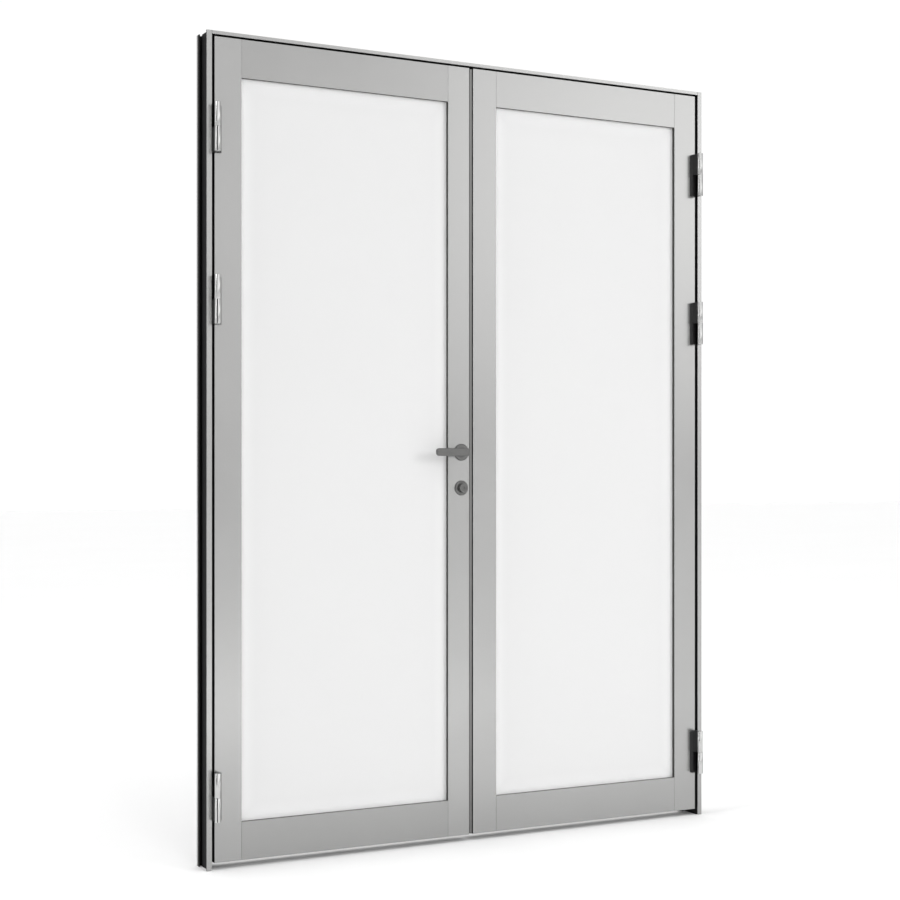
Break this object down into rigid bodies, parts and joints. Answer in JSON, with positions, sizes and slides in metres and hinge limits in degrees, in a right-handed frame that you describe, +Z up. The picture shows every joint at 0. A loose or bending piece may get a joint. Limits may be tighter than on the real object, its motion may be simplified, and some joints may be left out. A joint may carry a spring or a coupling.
{
  "type": "glazed double door",
  "caption": "Slim metal double door with satin glass leaves in an open-channel frame, hinged at the outer sides, with a lever handle and a lock on one leaf.",
  "frame": {"origin": "on the left jamb's wall face, at floor level, in the middle of the rear lip's width", "axes": "+X along the wall to the right as seen from the front, +Y through the wall to the back, +Z up; the leaves open towards -Y"},
  "size_m": [1.554, 0.139, 2.15],
  "materials": {
    "profile": "fine bead-blasted satin, natural silver",
    "hinge": "polished along its length",
    "glass": "satin white, lets light through but no view",
    "gasket": "matt grey",
    "seal": "matt black",
    "insulation": "matt black",
    "spacer": "matt grey",
    "lock": "satin",
    "handle": "dark satin"
  },
  "bodies": {
    "frame": {"jamb_left": "profile", "jamb_right": "profile", "head": "profile", "door_stops": "profile", "thermal_breaks": "insulation", "rebate_seals": "seal", "left_frame_hinge_low": "hinge", "left_frame_hinge_middle": "hinge", "left_frame_hinge_high": "hinge", "right_frame_hinge_low": "hinge", "right_frame_hinge_middle": "hinge", "right_frame_hinge_high": "hinge"},
    "leaf_left": {"left_hinge_stile": "profile", "left_lock_stile": "profile", "left_top_rail": "profile", "left_bottom_rail": "profile", "left_glass": "glass", "left_spacer": "spacer", "left_gaskets": "gasket", "left_beads": "profile", "left_leaf_hinge_low": "hinge", "left_leaf_hinge_middle": "hinge", "left_leaf_hinge_high": "hinge", "lock_body": "lock", "latch_bolt": "lock", "dead_bolt": "lock", "roses": "handle", "key_roses": "handle", "key_cylinder": "lock"},
    "leaf_right": {"right_hinge_stile": "profile", "right_lock_stile": "profile", "right_top_rail": "profile", "right_bottom_rail": "profile", "right_glass": "glass", "right_spacer": "spacer", "right_gaskets": "gasket", "right_beads": "profile", "right_leaf_hinge_low": "hinge", "right_leaf_hinge_middle": "hinge", "right_leaf_hinge_high": "hinge", "meeting_lip": "profile", "strike_plate": "lock"},
    "lever": {"front_lever": "handle", "rear_lever": "handle", "spindle": "lock"}
  },
  "joints": [
    {"name": "left_leaf_swing", "type": "hinge", "parent": "frame", "child": "leaf_left", "pos_m": [0.0215, -0.089, 0], "axis": [0, 0, -1], "range_deg": [0, 110]},
    {"name": "right_leaf_swing", "type": "hinge", "parent": "frame", "child": "leaf_right", "pos_m": [1.5325, -0.089, 0], "axis": [0, 0, 1], "range_deg": [0, 110]},
    {"name": "lever_turn", "type": "hinge", "parent": "leaf_left", "child": "lever", "pos_m": [0.741, -0.064, 1.074], "axis": [0, -1, 0], "range_deg": [0, 40], "stiffness_Nm_per_rad": 2, "springref_deg": -22.92}
  ]
}
